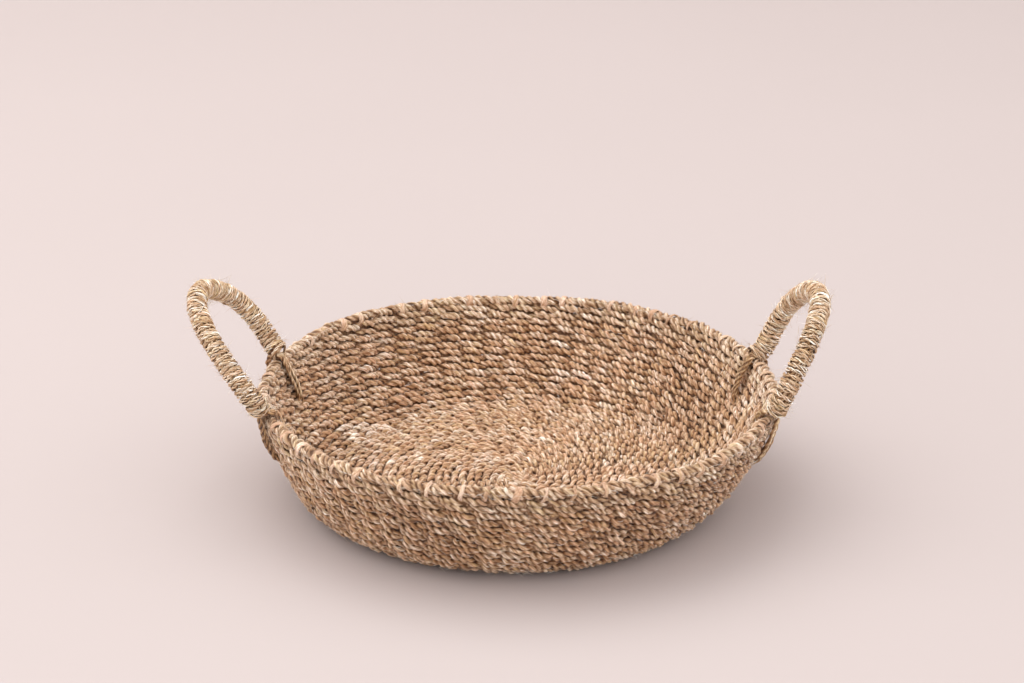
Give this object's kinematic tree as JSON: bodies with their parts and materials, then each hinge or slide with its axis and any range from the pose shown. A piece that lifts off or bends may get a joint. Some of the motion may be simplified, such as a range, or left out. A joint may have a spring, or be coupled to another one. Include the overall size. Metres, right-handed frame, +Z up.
{
  "type": "woven fruit basket",
  "caption": "Shallow round fruit basket of twined natural cord with a turned border and a wrapped rope handle on each side.",
  "frame": {"origin": "centre of the flat underside of the base, on the surface that the basket stands on", "axes": "+Z up, +X from the left handle to the right handle, +Y to the back"},
  "size_m": [0.3399, 0.2852, 0.1205],
  "materials": {
    "weave": "matte twisted plant-fibre cord",
    "border": "matte twisted plant-fibre cord, paler on the crest",
    "core": "matte loose plant-fibre strands",
    "wrap": "matte fine plant-fibre strand wound tightly"
  },
  "bodies": {
    "bowl": {"base_weave": "weave", "upsett_weave": "weave", "siding_weave": "weave", "rim_border": "border", "left_front_outer_leg": "core", "left_front_inner_leg": "core", "left_back_outer_leg": "core", "left_back_inner_leg": "core", "right_front_outer_leg": "core", "right_front_inner_leg": "core", "right_back_outer_leg": "core", "right_back_inner_leg": "core"},
    "left_handle": {"left_handle_core": "core", "left_handle_wrap": "wrap"},
    "right_handle": {"right_handle_core": "core", "right_handle_wrap": "wrap"}
  },
  "joints": [
    {"name": "left_handle_bend", "type": "hinge", "parent": "bowl", "child": "left_handle", "pos_m": [-0.1319, 0, 0.0686], "axis": [0, 1, 0], "range_deg": [-22, 45], "stiffness_Nm_per_rad": 0.3},
    {"name": "right_handle_bend", "type": "hinge", "parent": "bowl", "child": "right_handle", "pos_m": [0.1359, 0, 0.0686], "axis": [0, -1, 0], "range_deg": [-30, 37], "stiffness_Nm_per_rad": 0.3}
  ]
}
